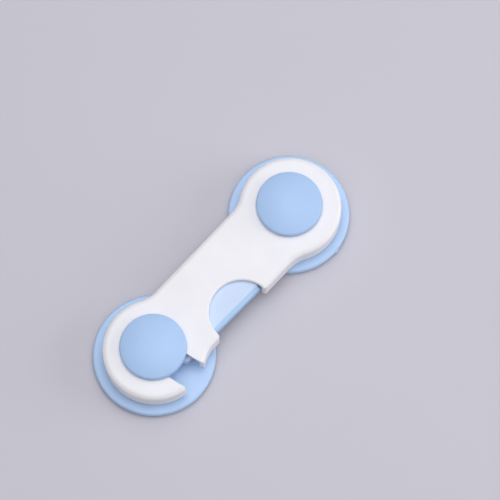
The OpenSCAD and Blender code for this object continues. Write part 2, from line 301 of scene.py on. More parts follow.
@dataclass(frozen=True)
class Finish:
    """What every finish has: a name, a colour with two tones, and the roughness that its patterns vary."""

    name: str
    colour: Colour
    roughness: float
    tones: Point = (1.0, 1.0)

    def toned(self, surface: Surface, share: Wire) -> Wire:
        """Returns the colour, which goes from its first tone to its second one by share."""
        first, second = ((*(part * tone for part in self.colour), 1) for tone in self.tones)
        return surface.mix(share, first, second)

    def sockets(self, surface: Surface) -> dict[str, Any]:
        """Adds the finish's patterns to a surface and returns the shader's inputs."""
        raise NotImplementedError

    def material(self) -> Material:
        """Returns the finish as a material."""
        surface = Surface(self.name)
        return surface.close(self.sockets(surface))


@dataclass(frozen=True)
class MouldedPlastic(Finish):
    """Satin plastic from an etched mould: fine grain, faint flow marks and uneven gloss.

    Faces that lean to the side can take a painted colour that stands in for light and shade: it is full
    where the upward share of the surface's direction is at or below one limit, and gone at another.
    """

    tones: Point = (0.975, 1.025)
    grain: Relief = Relief(0.26 * MM, 0.06, 0.012 * MM, 0.5)
    smear: Relief = Relief(2.2 * MM, 0.07)
    flow: float = 14 * MM
    ior: float = 1.49
    painted_side_light: Optional[Colour] = None
    painted_side_full: float = 0.8
    painted_side_from: float = 0.97

    def sockets(self, surface: Surface) -> dict[str, Any]:
        """Adds the finish's patterns.

        Args:
            surface: The surface that they are added to.

        Returns:
            Values and wires for the shader's inputs.
        """
        flow = surface.ramp(surface.noise(self.flow, detail=3.0))
        grain = surface.noise(self.grain.size, detail=1.0)
        smear = surface.ramp(surface.noise(self.smear.size))
        colour = self.toned(surface, flow)
        # Painted light: faces that lean to the side get their own colour, standing in for how light falls on
        # them.
        if self.painted_side_light is not None:
            upward = surface.upward(self.painted_side_full, self.painted_side_from)
            colour = surface.mix(upward, (*self.painted_side_light, 1), colour)
        gloss = (smear - 0.5) * self.smear.gloss + (grain - 0.5) * self.grain.gloss
        return {
            "Base Color": colour,
            "Roughness": self.roughness + gloss,
            "IOR": self.ior,
            "Normal": surface.bump(grain, self.grain),
        }


@dataclass(frozen=True)
class FoamTape(Finish):
    """Closed-cell foam: rows of small cells, paler where their walls show."""

    tones: Point = (0.82, 1.04)
    cell: Relief = Relief(0.32 * MM, 0.1, 0.06 * MM, 0.7)

    def sockets(self, surface: Surface) -> dict[str, Any]:
        """Adds the finish's patterns.

        Args:
            surface: The surface that they are added to.

        Returns:
            Values and wires for the shader's inputs.
        """
        cells = surface.ramp(surface.cells(self.cell.size), low=0.1, high=0.75)
        return {
            "Base Color": self.toned(surface, cells),
            "Roughness": self.roughness + cells * self.cell.gloss,
            "Normal": surface.bump(cells, self.cell),
        }


@dataclass(frozen=True)
class LinerPaper(Finish):
    """Coated release paper: short fibres, faint cockling and a slight gloss."""

    tones: Point = (0.9, 1.05)
    fibre: Relief = Relief(0.5 * MM, 0.2)
    fibre_stretch: Sequence[float] = (3.0, 1.0, 1.0)
    fibre_height: float = 0.15
    cockle: Relief = Relief(6 * MM, 0.0, 0.12 * MM, 0.5)

    def sockets(self, surface: Surface) -> dict[str, Any]:
        """Adds the finish's patterns.

        Args:
            surface: The surface that they are added to.

        Returns:
            Values and wires for the shader's inputs.
        """
        fibres = surface.noise(self.fibre.size, detail=4.0, stretch=self.fibre_stretch)
        height = fibres * self.fibre_height + surface.noise(self.cockle.size)
        return {
            "Base Color": self.toned(surface, surface.ramp(fibres, low=0.35, high=0.65)),
            "Roughness": self.roughness + fibres * self.fibre.gloss,
            "Normal": surface.bump(height, self.cockle),
        }


@dataclass(frozen=True)
class PlatedSteel(Finish):
    """Bright plated steel with faint drawing lines and uneven plating."""

    tones: Point = (0.86, 1.0)
    line: Relief = Relief(0.18 * MM, 0.1, 0.01 * MM, 0.4)
    line_stretch: Sequence[float] = (1.0, 1.0, 0.2)
    cloud: Relief = Relief(0.9 * MM, 0.14)

    def sockets(self, surface: Surface) -> dict[str, Any]:
        """Adds the finish's patterns.

        Args:
            surface: The surface that they are added to.

        Returns:
            Values and wires for the shader's inputs.
        """
        lines = surface.noise(self.line.size, stretch=self.line_stretch)
        cloud = surface.ramp(surface.noise(self.cloud.size, detail=3.0))
        gloss = (cloud - 0.5) * self.cloud.gloss + (lines - 0.5) * self.line.gloss
        return {
            "Base Color": self.toned(surface, cloud),
            "Metallic": 1.0,
            "Roughness": self.roughness + gloss,
            "Normal": surface.bump(lines, self.line),
        }


@dataclass(frozen=True)
class TableTop(Finish):
    """The plain pale board that the lock lies on."""

    tones: Point = (0.992, 1.008)
    cloud: float = 90 * MM
    grain: Relief = Relief(1.2 * MM, 0.1, 0.02 * MM, 0.25)

    def sockets(self, surface: Surface) -> dict[str, Any]:
        """Adds the finish's patterns.

        Args:
            surface: The surface that they are added to.

        Returns:
            Values and wires for the shader's inputs.
        """
        cloud = surface.ramp(surface.noise(self.cloud, detail=3.0))
        grain = surface.noise(self.grain.size)
        return {
            "Base Color": self.toned(surface, cloud),
            "Roughness": self.roughness + (grain - 0.5) * self.grain.gloss,
            "Normal": surface.bump(grain, self.grain),
        }


class Finishes:
    """Every finish of the lock, made once."""

    def __init__(self) -> None:
        """Makes the materials."""
        # The arm's side walls are painted lighter than its top: painted light that stands in for the light
        # they catch from the table and through the white plastic.
        self.arm = MouldedPlastic(
            "arm_white", srgb(236, 235, 242), 0.44, painted_side_light=srgb(250, 249, 253), painted_side_full=0.6
        ).material()
        self.cover = MouldedPlastic("cover_white", srgb(229, 228, 234), 0.5).material()
        self.base = MouldedPlastic("base_blue", srgb(182, 211, 249), 0.42).material()
        self.cap = MouldedPlastic("cap_blue", srgb(172, 202, 243), 0.48).material()
        # The lever's top and its leaning faces are painted in two blues: the paler top is a painted sheen
        # from the overhead lamps.
        self.lever = MouldedPlastic(
            "lever_pale_blue", srgb(198, 216, 245), 0.4, painted_side_light=srgb(183, 215, 252)
        ).material()
        self.foam = FoamTape("foam_tape", srgb(226, 226, 222), 0.86).material()
        self.liner = LinerPaper("liner_kraft", srgb(217, 201, 166), 0.42).material()
        self.screw = PlatedSteel("screw_zinc", srgb(176, 178, 184), 0.34).material()
        self.spring = PlatedSteel("spring_wire", srgb(190, 193, 198), 0.26).material()


class Tree(Graph):
    """A Geometry Nodes tree with named inputs, which ends in one finish."""

    def __init__(self, name: str, inputs: dict[str, str]) -> None:
        """Makes the tree's sockets.

        Args:
            name: The tree's name.
            inputs: Each input's name and kind of socket.
        """
        super().__init__(bpy.data.node_groups.new(name, "GeometryNodeTree"))
        face = self.tree.interface
        for way in ("OUTPUT", "INPUT"):
            face.new_socket("Geometry", in_out=way, socket_type="NodeSocketGeometry")
        self.keys = {
            label: face.new_socket(label, in_out="INPUT", socket_type=kind).identifier
            for label, kind in {**inputs, "Finish": "NodeSocketMaterial"}.items()
        }
        self.source = self.node("NodeGroupInput")

    def given(self, name: str) -> Wire:
        """Returns one of the tree's inputs."""
        return Wire(self, self.source.outputs[name])

    def solid(self, tools: list[Wire], base: Optional[Wire] = None) -> Wire:
        """Joins solids, or cuts them out of another one.

        Args:
            tools: The solids.
            base: What they are cut out of, if they are.

        Returns:
            The result.
        """
        sockets: dict[Any, Any] = {"Mesh 2": tools}
        settings = {"operation": "UNION", "solver": "EXACT"}
        if base is not None:
            sockets["Mesh 1"] = base
            settings["operation"] = "DIFFERENCE"
        return self.wire("GeometryNodeMeshBoolean", sockets, settings)

    def moved(self, geometry: Wire, place: Wire, turn: Optional[Wire] = None) -> Wire:
        """Turns and moves geometry.

        Args:
            geometry: The geometry.
            place: How far it is moved.
            turn: How far it is turned first, if it is.

        Returns:
            The moved geometry.
        """
        sockets = {"Geometry": geometry, "Translation": place}
        if turn is not None:
            sockets["Rotation"] = turn
        return self.wire("GeometryNodeTransform", sockets)

    def bent(self, geometry: Wire, places: Wire, offset: Wire) -> Wire:
        """Returns geometry whose points are put at other places, all moved by an offset."""
        sockets = {"Geometry": geometry, "Position": places, "Offset": offset}
        return self.wire("GeometryNodeSetPosition", sockets)

    def tube(self, path: Wire, radius: Wire, sides: int) -> Wire:
        """Draws a closed tube along a path.

        Args:
            path: The path.
            radius: The tube's radius.
            sides: How many sides it has.

        Returns:
            The tube.
        """
        ring = self.wire("GeometryNodeCurvePrimitiveCircle", {"Resolution": sides, "Radius": radius})
        sockets = {"Curve": path, "Profile Curve": ring, "Fill Caps": True}
        return self.wire("GeometryNodeCurveToMesh", sockets)

    def merged(self, geometry: Wire) -> Wire:
        """Returns geometry whose points are merged where they meet."""
        return self.wire("GeometryNodeMergeByDistance", {0: geometry, 2: WELD})

    def end(self, geometry: Wire) -> None:
        """Closes the tree with plain geometry in its finish.

        Args:
            geometry: What the tree has made.
        """
        whole = self.wire("GeometryNodeRealizeInstances", {0: geometry})
        sockets = {"Geometry": whole, "Material": self.given("Finish")}
        dressed = self.wire("GeometryNodeSetMaterial", sockets)
        self.node("NodeGroupOutput", {0: dressed})

    def bake(self, name: str, mesh: bpy.types.Mesh, values: dict[str, Any]) -> Piece:
        """Runs the tree on a mesh and keeps the result as a plain mesh.

        Args:
            name: The piece's name.
            mesh: What the tree starts from.
            values: The tree's inputs by name.

        Returns:
            The piece, at the origin.
        """
        piece = added(name, mesh)
        self.rebake(piece, values)
        return piece

    def rebake(self, piece: Piece, values: dict[str, Any]) -> None:
        """Runs the tree on a piece's own mesh and keeps the result as its plain mesh.

        Args:
            piece: The piece.
            values: The tree's inputs by name.
        """
        start = piece.data
        piece.modifiers.clear()
        modifier = piece.modifiers.new("tree", "NODES")
        modifier.node_group = self.tree
        for label, value in values.items():
            modifier[self.keys[label]] = value
        depsgraph = bpy.context.evaluated_depsgraph_get()
        result = bpy.data.meshes.new_from_object(piece.evaluated_get(depsgraph))
        result.name = piece.name
        piece.modifiers.clear()
        piece.data = result
        bpy.data.meshes.remove(start)


class Turning(Tree):
    """Turns a half section, drawn in X and Z, once round its axis."""

    def __init__(self) -> None:
        """Builds the tree: a grid of steps by section points, wrapped round the axis."""
        super().__init__("turned_piece", {"Steps": "NodeSocketInt", "Axis place": "NodeSocketVector"})
        section = self.given("Geometry")
        count = self.wire("GeometryNodeAttributeDomainSize", {0: section})
        sockets = {0: 1.0, 1: 1.0, 2: self.given("Steps") + 1, 3: count}
        grid = self.wire("GeometryNodeMeshGrid", sockets)
        place = self.wire("GeometryNodeInputPosition")
        along, across, _ = self.split(place)
        index = self.math("ROUND", (across + 0.5) * (count - 1))
        sockets = {0: section, 1: place, 2: index}
        point = self.wire("GeometryNodeSampleIndex", sockets, {"data_type": "FLOAT_VECTOR"})
        radius, _, height = self.split(point)
        angle = (along + 0.5) * TURN
        wrapped = self.join(radius * self.math("COSINE", angle), radius * self.math("SINE", angle), height)
        self.end(self.merged(self.bent(grid, wrapped, self.given("Axis place"))))


class Gating(Tree):
    """Leaves the stub of a moulding gate on a base's rim."""

    def __init__(self) -> None:
        """Builds the tree: a small block that is turned to its place and joined to the rim."""
        inputs = dict.fromkeys(("Size", "Place"), "NodeSocketVector")
        super().__init__("gated_base", {**inputs, "Turn": "NodeSocketFloat"})
        block = self.wire("GeometryNodeMeshCube", {"Size": self.given("Size")})
        stub = self.moved(block, self.given("Place"), self.join(z=self.given("Turn")))
        self.end(self.solid([self.given("Geometry"), stub]))


class Coiling(Tree):
    """Winds a compression spring along Y, with its end turns drawn closer."""

    WIRE_SIDES = 14

    def __init__(self) -> None:
        """Builds the tree: a line of points wound round Y and given a round wire."""
        measures = ("Turns", "Coil radius", "Wire radius", "Length", "End closing")
        inputs = dict.fromkeys(measures, "NodeSocketFloat")
        inputs.update({"Start": "NodeSocketVector", "Steps": "NodeSocketInt"})
        super().__init__("wound_spring", inputs)
        line = self.wire("GeometryNodeCurvePrimitiveLine")
        points = self.wire("GeometryNodeResampleCurve", {0: line, "Count": self.given("Steps")})
        share = self.wire("GeometryNodeSplineParameter", output="Factor")
        angle = share * self.given("Turns") * TURN
        closing = self.math("SINE", share * TURN) * self.given("End closing") / TURN
        wound = self.join(
            self.given("Coil radius") * self.math("COSINE", angle),
            self.given("Length") * (share - closing),
            self.given("Coil radius") * self.math("SINE", angle),
        )
        path = self.bent(points, wound, self.given("Start"))
        self.end(self.merged(self.tube(path, self.given("Wire radius"), self.WIRE_SIDES)))


class Screwing(Tree):
    """Puts a threaded screw with a cross recess at each point, its head downwards.

    The head and the shank have side counts without a common factor, so that their corners don't meet.
    Starts are shares of the head's height. Tip length and thread end are shares of the shank's radius.
    """

    HEAD_SIDES = 55
    SHANK_SIDES = 32
    THREAD_STEPS = 24
    THREAD_SIDES = 4
    CORE_SHARE = 0.8
    NECK_SHARE = 0.9
    RIM_SHARES = {Head.COUNTERSUNK: 0.16, Head.PAN: 0.5}
    FACE_SHARES = {Head.COUNTERSUNK: 0.96, Head.PAN: 0.66}
    SHANK_START = 0.5
    TIP_LENGTH = 1.2
    TIP_SHARES = (0.96, 0.4)
    TIP_OVERLAP = 0.1
    THREAD_START = 1.15
    THREAD_END = 1.4
    BODY_LENGTHS = ("Head radius", "Head height", "Shank radius", "Length", "Pitch")
    SLOT_LENGTHS = ("Slot length", "Slot width", "Slot depth")

    def __init__(self, head: Head) -> None:
        """Builds the tree: a blank of head, shank and thread, with its recess cut, at each point.

        Args:
            head: The kind of head.
        """
        inputs = dict.fromkeys(self.BODY_LENGTHS + self.SLOT_LENGTHS, "NodeSocketFloat")
        super().__init__(f"{head.value}_screws", {**inputs, "Seed": "NodeSocketInt"})
        core = self.given("Shank radius") * self.CORE_SHARE
        blank = self.solid([self.head(head, core), self.shank(core), self.thread(core)])
        screw = self.solid([self.recess()], blank)
        limits = {2: 0.0, 3: TURN / 2, "Seed": self.given("Seed")}
        turn = self.wire("FunctionNodeRandomValue", limits, {"data_type": "FLOAT"}, 1)
        sockets = {"Points": self.given("Geometry"), "Instance": screw, "Rotation": self.join(z=turn)}
        self.end(self.wire("GeometryNodeInstanceOnPoints", sockets))

    def lift(self, solid: Wire, height: Term) -> Wire:
        """Returns a solid moved up by a height."""
        return self.moved(solid, self.join(z=height))

    def cone(self, sides: int, bottom: Wire, top: Wire, depth: Wire) -> Wire:
        """Returns a cone with those radii that stands on height 0."""
        sockets = {"Vertices": sides, "Radius Bottom": bottom, "Radius Top": top, "Depth": depth}
        return self.wire("GeometryNodeMeshCone", sockets)

    def head(self, head: Head, core: Wire) -> Wire:
        """Makes the head, with its face at height 0.

        Args:
            head: The kind of head.
            core: The radius of the shank's core.

        Returns:
            The head.
        """
        radius, height = self.given("Head radius"), self.given("Head height")
        rim = height * self.RIM_SHARES[head]
        neck = core * self.NECK_SHARE if head is Head.COUNTERSUNK else radius
        lower = self.cone(self.HEAD_SIDES, radius * self.FACE_SHARES[head], radius, rim)
        upper = self.cone(self.HEAD_SIDES, radius, neck, height - rim)
        return self.solid([lower, self.lift(upper, rim)])

    def shank(self, core: Wire) -> Wire:
        """Makes the shank's core, from inside the head to a narrowed tip.

        Args:
            core: Its radius.

        Returns:
            The core.
        """
        tip = self.given("Shank radius") * self.TIP_LENGTH
        start = self.given("Head height") * self.SHANK_START
        straight = self.given("Length") - start - tip
        sockets = {"Vertices": self.SHANK_SIDES, "Radius": core, "Depth": straight}
        rod = self.wire("GeometryNodeMeshCylinder", sockets)
        end = self.cone(self.SHANK_SIDES, core * self.TIP_SHARES[0], core * self.TIP_SHARES[1], tip)
        rise = start + straight - tip * self.TIP_OVERLAP
        return self.solid([self.lift(rod, start + straight * 0.5), self.lift(end, rise)])

    def thread(self, core: Wire) -> Wire:
        """Makes the thread's ridge, wound round the core.

        Args:
            core: The core's radius.

        Returns:
            The ridge.
        """
        start = self.given("Head height") * self.THREAD_START
        run = self.given("Length") - start - self.given("Shank radius") * self.THREAD_END
        sockets = {
            "Resolution": self.THREAD_STEPS,
            "Rotations": run / self.given("Pitch"),
            "Start Radius": core,
            "End Radius": core,
            "Height": run,
        }
        spiral = self.wire("GeometryNodeCurveSpiral", sockets)
        ridge = self.given("Shank radius") - core
        return self.lift(self.tube(spiral, ridge, self.THREAD_SIDES), start)

    def recess(self) -> Wire:
        """Makes the cross that is cut into the head.

        Returns:
            The cross.
        """
        length, width = self.given("Slot length"), self.given("Slot width")
        depth = self.given("Slot depth") * 2
        sizes = (self.join(length, width, depth), self.join(width, length, depth))
        cubes = [self.wire("GeometryNodeMeshCube", {"Size": size}) for size in sizes]
        return self.solid(cubes)


class Section:
    """The half section of a turned piece, from its axis out and back to its axis."""

    def __init__(self) -> None:
        """Starts an empty section."""
        self.corners: list[tuple[float, float, float]] = []

    def to(self, radius: float, height: float, rounding: float = 0.0) -> "Section":
        """Goes on to a corner with that rounding and returns the section."""
        self.corners.append((radius, height, rounding))
        return self

    def arc(self, middle: Point, radius: float, start: float, end: float, steps: int) -> "Section":
        """Goes on along an arc.

        Args:
            middle: The arc's middle, as radius and height.
            radius: The arc's own radius.
            start: Its first angle, from the section's outward direction.
            end: Its last angle.
            steps: How many straight pieces it has.

        Returns:
            The section.
        """
        for step in range(steps + 1):
            angle = start + (end - start) * step / steps
            reach = middle[0] + radius * math.cos(angle)
            self.to(max(reach, 0.0), middle[1] + radius * math.sin(angle))
        return self

    def points(self, steps: int = 4) -> list[Point]:
        """Draws the section with its corners rounded.

        Args:
            steps: How many straight pieces each rounding has.

        Returns:
            The section's points, as radius and height.
        """
        drawn: list[Point] = []
        for index, (radius, height, rounding) in enumerate(self.corners):
            if rounding == 0.0:
                drawn.append((radius, height))
                continue
            here = Vector((radius, height))
            before = (Vector(self.corners[index - 1][:2]) - here).normalized()
            after = (Vector(self.corners[index + 1][:2]) - here).normalized()
            half = before.angle(after) / 2
            middle = here + (before + after).normalized() * rounding / math.sin(half)
            first = here + before * rounding / math.tan(half) - middle
            last = here + after * rounding / math.tan(half) - middle
            for step in range(steps + 1):
                spoke = first.lerp(last, step / steps).normalized() * rounding
                drawn.append(tuple(middle + spoke))
        return drawn

    def mesh(self, name: str) -> bpy.types.Mesh:
        """Draws the section as a line of points in X and Z.

        Args:
            name: The mesh's name.

        Returns:
            The mesh.
        """
        points = self.points()
        mesh = bpy.data.meshes.new(name)
        edges = [(index, index + 1) for index in range(len(points) - 1)]
        mesh.from_pydata([(radius, 0.0, height) for radius, height in points], edges, [])
        return mesh


@dataclass(frozen=True)
class Corner:
    """An upright corner between two walls of a moulded piece that is rounded, seen from above.

    The walls are given by the directions they face, in degrees. What lies in the corner, and no more
    than a spare share of the radius outside it, is drawn towards the middle of the rounding, so that
    the form stays closed.
    """

    place: Point
    walls: Point
    radius: float
    steps: int = 8
    spare: float = 0.02

    def soften(self, form: Form) -> None:
        """Rounds the corner.

        Args:
            form: The form that has it, which is changed.
        """
        start, end = (math.radians(angle) for angle in self.walls)
        sweep = math.remainder(end - start, TURN)
        angles = [start + sweep * step / self.steps for step in range(self.steps + 1)]
        faced = [Vector((math.cos(angle), math.sin(angle))) for angle in (start, end)]
        spread = (faced[0] + faced[1]) / (1 + faced[0].dot(faced[1]))
        middle = Vector(self.place) - spread * self.radius
        self.slice(form, middle, spread.length * self.radius, angles)
        side = math.copysign(1, sweep)
        for vert in form.verts:
            offset = vert.co.xy - middle
            between = min(faced[0].cross(offset) * side, offset.cross(faced[1]) * side)
            outwards = max(offset.dot(wall) for wall in faced)
            if between > 0 and outwards < self.radius * (1 + self.spare):
                vert.co.xy = middle + offset * outwards / offset.length

    def slice(self, form: Form, middle: Vector, reach: float, angles: Sequence[float]) -> None:
        """Cuts the faces of the corner into narrow ones, along upright planes.

        Args:
            form: The form, which is changed.
            middle: The rounding's middle, which every plane goes through.
            reach: How far from the middle a face has to come near to be cut.
            angles: The directions of the planes.
        """
        near = {vert for vert in form.verts if (vert.co.xy - middle).length < reach}
        faces = [face for face in form.faces if not near.isdisjoint(face.verts)]
        parts: list[Any] = [
            *faces,
            *{edge for face in faces for edge in face.edges},
            *{vert for face in faces for vert in face.verts},
        ]
        for angle in angles:
            across = (-math.sin(angle), math.cos(angle), 0)
            parts = bmesh.ops.bisect_plane(
                form, geom=parts, dist=WELD, plane_co=(*middle, 0), plane_no=across
            )["geom"]


class Workshop:
    """The tools that make pieces and put them in their places."""

    STEPS = 168
    SLIVER = 0.02 * MM
    FLAT = math.radians(0.4)
    SHARP = math.radians(24)
    SMOOTH = math.radians(40)
    ROUNDING = {"offset_type": "OFFSET", "segments": 2, "profile": 0.5, "affect": "EDGES"}

    def __init__(self) -> None:
        """Makes the finishes and the trees."""
        self.finishes = Finishes()
        self.turning = Turning()
        self.gating = Gating()
        self.coiling = Coiling()
        self.screwing = {head: Screwing(head) for head in Head}

    def turned(self, name: str, section: Section, axis: Point, finish: Material) -> Piece:
        """Makes a piece by turning its half section.

        Args:
            name: The piece's name.
            section: Its half section.
            axis: Where its axis stands.
            finish: Its material.

        Returns:
            The piece.
        """
        values = {"Steps": self.STEPS, "Axis place": (*axis, 0.0), "Finish": finish}
        piece = self.turning.bake(name, section.mesh(name), values)
        self.shade(piece, facing_out=True)
        return piece

    def softened(
        self, name: str, node: str, width: float, finish: Material, corners: Sequence[Corner] = ()
    ) -> Piece:
        """Makes a moulded piece: a merged copy of a CAD node whose sharp edges are rounded.

        Args:
            name: The piece's name.
            node: The CAD node.
            width: How far the rounding reaches from each edge.
            finish: Its material.
            corners: Upright corners that are rounded more.

        Returns:
            The piece.
        """
        mesh = bpy.data.meshes.new(name)
        form = bmesh.new()
        form.from_mesh(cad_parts[node].data)
        bmesh.ops.remove_doubles(form, verts=form.verts, dist=WELD)
        bmesh.ops.dissolve_degenerate(form, edges=form.edges, dist=self.SLIVER)
        bmesh.ops.dissolve_limit(form, angle_limit=self.FLAT, verts=form.verts, edges=form.edges)
        edges = [edge for edge in form.edges if edge.calc_face_angle(0.0) > self.SHARP]
        bmesh.ops.bevel(form, geom=edges, offset=width, clamp_overlap=False, **self.ROUNDING)
        self.split(form)
        for corner in corners:
            corner.soften(form)
        self.split(form)
        form.to_mesh(mesh)
        form.free()
        mesh.materials.clear()
        mesh.materials.append(finish)
        piece = added(name, mesh)
        self.shade(piece)
        return piece

    def split(self, form: Form) -> None:
        """Splits the faces of a form that have more than four corners."""
        bmesh.ops.triangulate(form, faces=[face for face in form.faces if len(face.verts) > 4])

    def shade(self, piece: Piece, facing_out: bool = False) -> None:
        """Smooths a piece's shading, sharp edges apart.

        Args:
            piece: The piece.
            facing_out: Whether its faces are turned outwards first.
        """
        if facing_out:
            form = bmesh.new()
            form.from_mesh(piece.data)
            bmesh.ops.recalc_face_normals(form, faces=form.faces)
            form.to_mesh(piece.data)
            form.free()
        piece.data.shade_smooth()
        piece.data.set_sharp_from_angle(angle=self.SMOOTH)
        weighted = piece.modifiers.new("even_shading", "WEIGHTED_NORMAL")
        weighted.keep_sharp = True

    def place(self, piece: Piece, body: Body, slot: Slot, *nodes: str) -> None:
        """Lets a piece ride on its body in place of its CAD nodes, and reports it.

        Args:
            piece: The piece.
            body: The body that carries it.
            slot: Not used.
            nodes: The CAD nodes that it stands for.
        """
        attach(piece, body.value)
        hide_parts(*nodes)
        LOG.info("%s rides on %s: %d faces", piece.name, body.value, len(piece.data.polygons))


@dataclass(frozen=True)
class Screw:
    """One size of cross-head screw, whose slots are a share of its head deep."""

    kind: Head
    head: float
    head_height: float
    shank: float
    length: float
    pitch: float
    slot: float
    seed: int
    slot_width: float = 0.5 * MM
    slot_share: float = 0.55

    def build(self, shop: Workshop, name: str, places: Sequence[Sequence[float]]) -> Piece:
        """Makes a piece with a screw at each place.

        Args:
            shop: The workshop.
            name: The piece's name.
            places: The middles of the screws' faces.

        Returns:
            The piece.
        """
        mesh = bpy.data.meshes.new(name)
        mesh.from_pydata(places, [], [])
        values = {
            "Head radius": self.head,
            "Head height": self.head_height,
            "Shank radius": self.shank,
            "Length": self.length,
            "Pitch": self.pitch,
            "Slot length": self.slot,
            "Slot width": self.slot_width,
            "Slot depth": self.head_height * self.slot_share,
            "Seed": self.seed,
            "Finish": shop.finishes.screw,
        }
        piece = shop.screwing[self.kind].bake(name, mesh, values)
        shop.shade(piece, facing_out=True)
        return piece


@dataclass
class StickOnBase:
    """One round base: its disc and post, its cap, the cap's screw, the foam pad and the liner."""

    end: str
    axis_x: float
    gate_turn: float
    edge: float = 0.12 * MM
    disc_radius: float = 20 * MM
    disc_foot: float = 1.15 * MM
    disc_rim: float = 1.9 * MM
    disc_round: float = 0.9 * MM
    disc_slope: float = math.radians(4)
    collar_radius: float = 8.4 * MM
    collar_top: float = 4.7 * MM
    post_radius: float = 4.2 * MM
    socket_radius: float = 2.6 * MM
    socket_floor: float = 7.05 * MM
    pocket_radius: float = 2.4 * MM
    pocket_roof: float = 2.85 * MM
    shank_hole: float = 1.05 * MM
    gate_width: float = 1.4 * MM
    gate_reach: float = 0.3 * MM
    cap_radius: float = 10.8 * MM
    cap_foot: float = 13.3 * MM
    cap_rim: float = 1.7 * MM
    cap_rise: float = 2.3 * MM
    cap_round: float = 0.9 * MM
    cap_lip: float = 1.6 * MM
    cap_hollow: float = 1.2 * MM
    seat_radius: float = 5.2 * MM
    stem_radius: float = 2.55 * MM
    stem_length: float = 6.2 * MM
    bore_radius: float = 1.0 * MM
    bore_depth: float = 4.85 * MM
    pad_radius: float = 17.6 * MM
    pad_bulge: float = 0.12 * MM
    pad_skin: float = 0.08 * MM
    screw_face: float = 1.45 * MM
    screw: Screw = Screw(
        Head.PAN,
        head=2.1 * MM,
        head_height=1.4 * MM,
        shank=0.95 * MM,
        length=8.7 * MM,
        pitch=0.7 * MM,
        slot=2.73 * MM,
        seed=3,
    )

    def build(self, shop: Workshop) -> None:
        """Makes the base's five pieces and puts them in place.

        Args:
            shop: The workshop that makes them.
        """
        self.build_disc(shop)
        self.build_cap(shop)
        self.build_pad(shop)
        self.build_liner(shop)
        self.build_screw(shop)

    def disc_section(self) -> Section:
        """Draws the half section of the disc with its collar and hollow post.

        Returns:
            The section.
        """
        rim = (self.disc_radius - self.disc_round, self.disc_foot + self.disc_rim - self.disc_round)
        meet_x = rim[0] + self.disc_round * math.sin(self.disc_slope)
        meet_z = rim[1] + self.disc_round * math.cos(self.disc_slope)
        root = meet_z + (meet_x - self.collar_radius) * math.tan(self.disc_slope)
        edge, top = self.edge, self.cap_foot
        section = Section().to(self.shank_hole, self.pocket_roof)
        section.to(self.pocket_radius, self.pocket_roof, edge)
        section.to(self.pocket_radius, self.disc_foot, edge)
        section.to(self.disc_radius, self.disc_foot, edge)
        section.arc(rim, self.disc_round, 0, math.pi / 2 - self.disc_slope, steps=10)
        section.to(self.collar_radius, root, edge).to(self.collar_radius, self.collar_top, 2 * edge)
        section.to(self.post_radius, self.collar_top, edge).to(self.post_radius, top, 2 * edge)
        section.to(self.socket_radius, top, edge).to(self.socket_radius, self.socket_floor, edge)
        return section.to(self.shank_hole, self.socket_floor).to(self.shank_hole, self.pocket_roof)

    def build_disc(self, shop: Workshop) -> None:
        """Makes the disc with its collar and post, and the gate's stub on its rim.

        Args:
            shop: The workshop that makes it.
        """
        name = f"{self.end}_disc"
        disc = shop.turned(name, self.disc_section(), (self.axis_x, 0), shop.finishes.base)
        foot, top = self.disc_foot + self.edge, self.disc_foot + self.disc_rim - self.disc_round
        size = (self.disc_round + self.gate_reach, self.gate_width, top - foot)
        reach = self.disc_radius + self.gate_reach - size[0] / 2
        place = (
            self.axis_x + reach * math.cos(self.gate_turn),
            reach * math.sin(self.gate_turn),
            (foot + top) / 2,
        )
        values = {"Size": size, "Place": place, "Turn": self.gate_turn, "Finish": shop.finishes.base}
        shop.gating.rebake(disc, values)
        shop.shade(disc)
        shop.place(disc, Body.BASES, Slot.BASE, f"{self.end}_base")

    def build_cap(self, shop: Workshop) -> None:
        """Makes the domed cap with its stem.

        Args:
            shop: The workshop that makes it.
        """
        ball = (self.cap_radius**2 + self.cap_rise**2) / (2 * self.cap_rise)
        ball_z = self.cap_foot + self.cap_rim + self.cap_rise - ball
        rim_x = self.cap_radius - self.cap_round
        rim_z = ball_z + math.sqrt((ball - self.cap_round) ** 2 - rim_x**2)
        slope = math.atan2(rim_z - ball_z, rim_x)
        foot, roof = self.cap_foot, self.cap_foot + self.cap_hollow
        stem_end = foot - self.stem_length
        bore_end = stem_end + self.bore_depth
        section = Section()
        section.to(0, bore_end).to(self.bore_radius, bore_end)
        section.to(self.bore_radius, stem_end, self.edge).to(self.stem_radius, stem_end, self.edge)
        section.to(self.stem_radius, foot, self.edge).to(self.seat_radius, foot, self.edge)
        section.to(self.seat_radius, roof, self.edge)
        section.to(self.cap_radius - self.cap_lip, roof, self.edge)
        section.to(self.cap_radius - self.cap_lip, foot, self.edge)
        section.to(self.cap_radius, foot, self.edge)
        section.arc((rim_x, rim_z), self.cap_round, 0, slope, steps=10)
        section.arc((0, ball_z), ball, slope, math.pi / 2, steps=30)
        name = f"{self.end}_dome"
        piece = shop.turned(name, section, (self.axis_x, 0), shop.finishes.cap)
        shop.place(piece, Body.BASES, Slot.CAP, f"{self.end}_cap")

    def build_pad(self, shop: Workshop) -> None:
        """Makes the foam pad, whose cut side is drawn in a little between its skins.

        Args:
            shop: The workshop that makes it.
        """
        node = f"{self.end}_adhesive_pad"
        low, high = (corner.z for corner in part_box(node))
        inner = self.pad_radius - self.pad_bulge
        section = Section().to(0, low).to(self.pad_radius, low).to(self.pad_radius, low + self.pad_skin)
        middle = (low + high) / 2
        section.to(inner, middle - self.pad_skin, self.pad_skin)
        section.to(inner, middle + self.pad_skin, self.pad_skin)
        section.to(self.pad_radius, high - self.pad_skin).to(self.pad_radius, high).to(0, high)
        piece = shop.turned(f"{self.end}_foam", section, (self.axis_x, 0), shop.finishes.foam)
        shop.place(piece, Body.BASES, Slot.FOAM, node)

